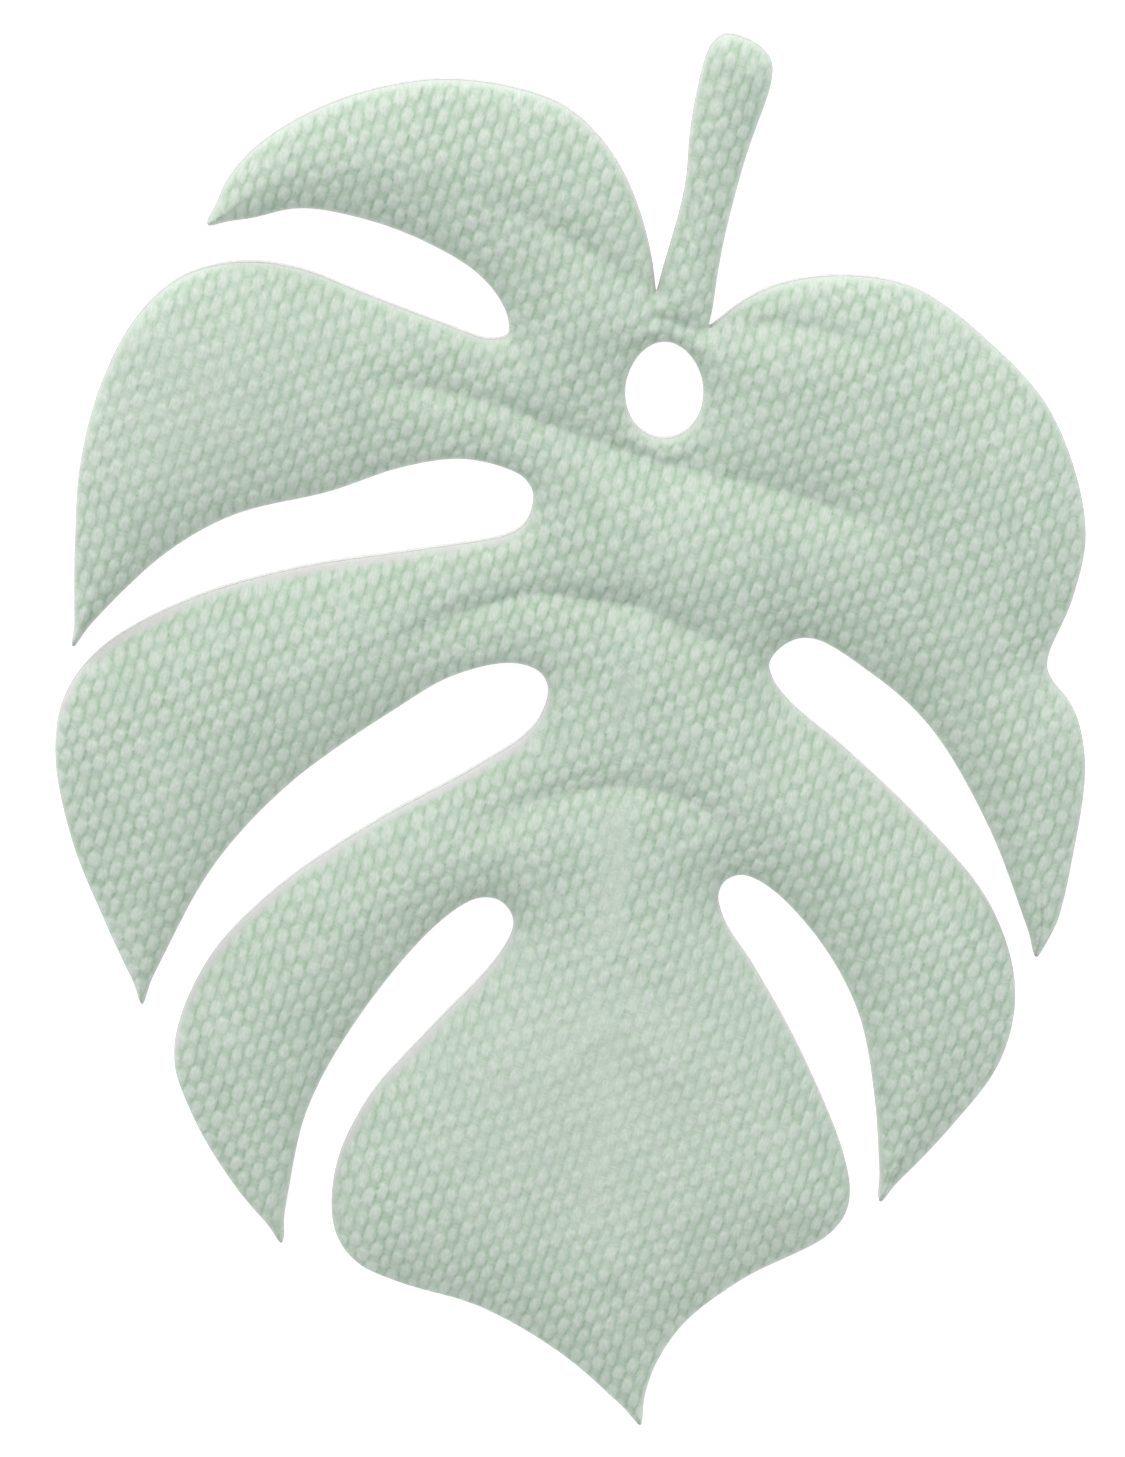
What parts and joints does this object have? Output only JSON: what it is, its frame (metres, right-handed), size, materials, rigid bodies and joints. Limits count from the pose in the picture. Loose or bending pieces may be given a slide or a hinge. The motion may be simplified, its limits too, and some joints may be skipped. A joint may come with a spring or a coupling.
{
  "type": "padded fabric monstera leaf",
  "caption": "Flat padded monstera leaf of woven fabric, with deep slots between its lobes, pressed veins, a short stalk and an egg-shaped hole below it.",
  "frame": {"origin": "middle of the leaf's length and width, on the plane of its back", "axes": "+Y along the leaf towards the stalk, +X across it to the right as its face is seen with the stalk up, +Z out of its face"},
  "size_m": [0.0898, 0.1251, 0.0054],
  "materials": {
    "woven_cloth": "matt mint-green canvas, plain weave",
    "filling": "soft off-white fibre padding",
    "backing_cloth": "matt pale lilac-grey felt"
  },
  "bodies": {
    "root": {"front_cover": "woven_cloth", "padding": "filling", "back_cover": "backing_cloth"}
  },
  "joints": []
}
